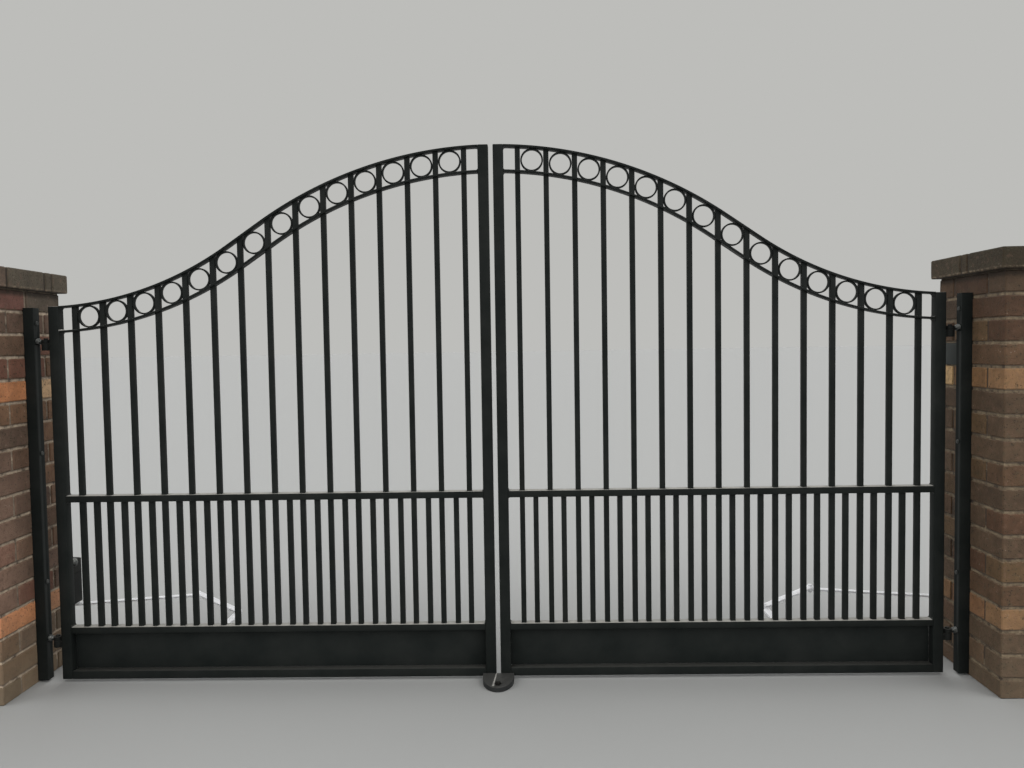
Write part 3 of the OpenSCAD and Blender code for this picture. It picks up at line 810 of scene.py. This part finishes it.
def opener(name, side):
    """The opener's casing behind a pier: a box with a sloping lid, a seam and a release knob."""
    face = GATE + side * (REVEAL + CASING_IN[name])
    x0, x1 = sorted((face, face + side * CASING[0]))
    back, high = CASING_FRONT + CASING[1], CASING_LOW + CASING[2]
    box = block(name + "_opener_casing", (x0, CASING_FRONT, CASING_LOW), (x1, back, high))

    def top_at_the_back(middle, way):
        return abs(way.x) > 0.9 and middle.y > back - 0.001 and middle.z > high - 0.001

    pick(box, "edges", top_at_the_back)
    bpy.ops.transform.translate(value=(0, 0, -LID_FALL))
    pick(box, "edges", lambda middle, way: abs(way.z) > 0.9 and middle.y > back - 0.001)
    bpy.ops.mesh.bevel(offset=0.014, segments=6, affect="EDGES")
    pick(box, "faces", lambda middle, normal: normal.z > 0.9)
    bpy.ops.mesh.bevel(offset=0.008, segments=4, affect="EDGES")
    seam = (CASING_LOW + 0.130, CASING_LOW + 0.1335)
    for z in seam:
        pick(box, "faces", lambda middle, normal: True)
        bpy.ops.mesh.bisect(plane_co=(0, 0, z), plane_no=(0, 0, 1))
    pick(box, "faces", lambda middle, normal: seam[0] < middle.z < seam[1] and abs(normal.z) < 0.5)
    bpy.ops.mesh.extrude_region_shrink_fatten(TRANSFORM_OT_shrink_fatten={"value": -0.002})
    bpy.ops.object.mode_set(mode="OBJECT")
    sx = GATE + side * SHAFT[0]
    shaft = rod("shaft", (sx, SHAFT[1], ARMS[0]), (sx, SHAFT[1], CASING_LOW + 0.002), 0.010, 40)
    place(joined(name + "_opener_casing", [box, ease(shaft, 0.001)]), "piers", casing)
    # The release knob is round and domed, near the top of the face towards the drive.
    y, z = 0.296, 0.398
    knob = rod(name + "_release_knob", (face - side * 0.011, y, z), (face + side * 0.004, y, z), 0.017, 40)
    pick(knob, "faces", lambda middle, normal: normal.x * side < -0.9)
    for step, rise in ((0.002, 0.002), (0.004, 0.002), (0.005, 0.001)):
        bpy.ops.mesh.inset(thickness=step)
        bpy.ops.transform.translate(value=(-side * rise, 0, 0))
    bpy.ops.object.mode_set(mode="OBJECT")
    place(ease(knob, 0.0006), "piers", zinc)
    return bpy.data.objects[name + "_opener_casing"]


def find_elbow():
    """Where the arms meet: from the gate's middle, and behind the gate line."""
    gap_x, gap_y = SHAFT[0] - PIN[0], SHAFT[1] - PIN[1]
    gap = math.hypot(gap_x, gap_y)
    turn = math.acos((DRIVE ** 2 + gap ** 2 - LINK ** 2) / (2 * DRIVE * gap)) - math.atan2(gap_y, gap_x)
    return SHAFT[0] - DRIVE * math.cos(turn), SHAFT[1] + DRIVE * math.sin(turn)


def arm_bolts(name, side):
    """The elbow's bolt, its head on the link arm and its nut on the drive arm, and the leaf pin's clip."""
    low, high = ARMS
    x, y = find_elbow()
    x = GATE + side * x
    head = rod("head", (x, y, high + 0.002), (x, y, high + 0.0085), 0.0105, 6)
    washer = rod("washer", (x, y, high), (x, y, high + 0.002), 0.0140, 32)
    bolt = joined(name + "_elbow_bolt", [ease(head, 0.001), ease(washer, 0.0004)])
    place(bolt, name + "_link_lever", enamel)
    nut = rod("nut", (x, y, low - 0.0085), (x, y, low), 0.0115, 6)
    tip = rod("tip", (x, y, low - 0.012), (x, y, low - 0.008), 0.0060, 24)
    nut = joined(name + "_elbow_nut", [ease(nut, 0.001), ease(tip, 0.0006)])
    place(nut, name + "_drive_lever", enamel)
    x, y = GATE + side * PIN[0], PIN[1]
    washer = rod("washer", (x, y, high), (x, y, high + 0.0015), 0.0140, 32)
    clip = rod("clip", (x, y, high + 0.003), (x, y, high + 0.005), 0.0080, 32)
    clip = joined(name + "_link_pin_clip", [ease(washer, 0.0004), ease(clip, 0.0008)])
    place(clip, name + "_leaf", enamel)


def cell_cover():
    """A flat dark grey cover on the right reveal, one course high."""
    x = GATE + REVEAL
    cover = block("cell_cover", (x - 0.003, 0.048, 1.203), (x + 0.002, 0.185, 1.289))
    pick(cover, "faces", lambda middle, normal: normal.x < -0.9)
    bpy.ops.mesh.inset(thickness=0.006)
    bpy.ops.mesh.extrude_region_move(TRANSFORM_OT_translate={"value": (-0.001, 0, 0)})
    bpy.ops.object.mode_set(mode="OBJECT")
    place(ease(cover, 0.0012), "piers", cell_paint)


brickwork()
rolled_steel()
for name, side in SIDES.items():
    frame_welds(name, side)
    ring_welds(name, side)
    hinge_welds(name, side)
    bolt_threads(name, side)
    arm_bolts(name, side)
worn_weld_painted_highlight()
floor_stop_details()
casings = [opener(name, side) for name, side in SIDES.items()]
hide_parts("opener_housings")
cell_cover()
clear()


# Floor, light and camera

bpy.ops.mesh.primitive_plane_add(size=240, location=(GATE, 60, -0.0005))
floor = bpy.context.object
floor.name = "floor"
floor.data.materials.append(plain_floor())


def overcast_sky():
    """Even light on the piece, a little stronger from low down than from overhead, so that upright faces get
    as much as level ones; a plain pale backdrop to the camera and in gloss."""
    world = bpy.data.worlds.new("overcast")
    bpy.context.scene.world = world
    world.use_nodes = True
    sky = world.node_tree.nodes["Background"]
    sky.inputs["Color"].default_value = (0.95, 0.97, 1.0, 1)
    way = add(world, "SeparateXYZ", {"Vector": add(world, "TexCoord").outputs["Generated"]})
    level = add(world, "MapRange", {"Value": way.outputs["Z"], "To Min": 1.75, "To Max": 0.1})
    link(world, level.outputs["Result"], sky, "Strength")
    behind = add(world, "Background", {"Color": paint("#bdbdba"), "Strength": 1.0})
    path = add(world, "LightPath")
    seen = path.outputs["Is Camera Ray"]
    for ray in ("Is Glossy Ray", "Is Transmission Ray"):
        seen = add(world, "Math", {0: seen, 1: path.outputs[ray]}, operation="MAXIMUM").outputs[0]
    either = add(world, "MixShader", {0: seen, 1: sky.outputs[0], 2: behind.outputs[0]})
    link(world, either.outputs[0], world.node_tree.nodes["World Output"], "Surface")


overcast_sky()
# Broad soft lamps: strength, tilt and turn in degrees.
for name, energy, tilt, turn in (("key_light", 1.0, 56, 50), ("fill_light", 0.75, 56, -58),
                                 ("top_light", 0.8, -32, 12)):
    lamp = bpy.data.lights.new(name, "SUN")
    lamp.energy = energy
    lamp.angle = math.radians(50)
    held = bpy.data.objects.new(name, lamp)
    held.rotation_euler = (math.radians(tilt), 0, math.radians(turn))
    bpy.context.scene.collection.objects.link(held)


def photo_camera():
    """The camera solved from the photo's straight lines."""
    yaw, pitch, roll = -0.0188, 0.0465, -0.0153
    ahead = Vector((math.sin(yaw) * math.cos(pitch), math.cos(yaw) * math.cos(pitch), -math.sin(pitch)))
    right = Vector((math.cos(yaw), -math.sin(yaw), 0))
    up = right.cross(ahead)
    right, up = right * math.cos(roll) + up * math.sin(roll), up * math.cos(roll) - right * math.sin(roll)
    data = bpy.data.cameras.new("photo_camera")
    data.sensor_width = 36
    data.lens = 827.1 / 1024 * data.sensor_width     # 827.1 px in a picture 1024 px wide
    data.clip_end = 500
    camera = bpy.data.objects.new("photo_camera", data)
    bpy.context.scene.collection.objects.link(camera)
    eye = (GATE + 0.1296, -3.204, 1.3056)
    camera.matrix_world = Matrix([*zip(right, up, -ahead, eye), (0, 0, 0, 1)])
    bpy.context.scene.camera = camera


photo_camera()
bpy.context.scene.view_settings.view_transform = "Standard"
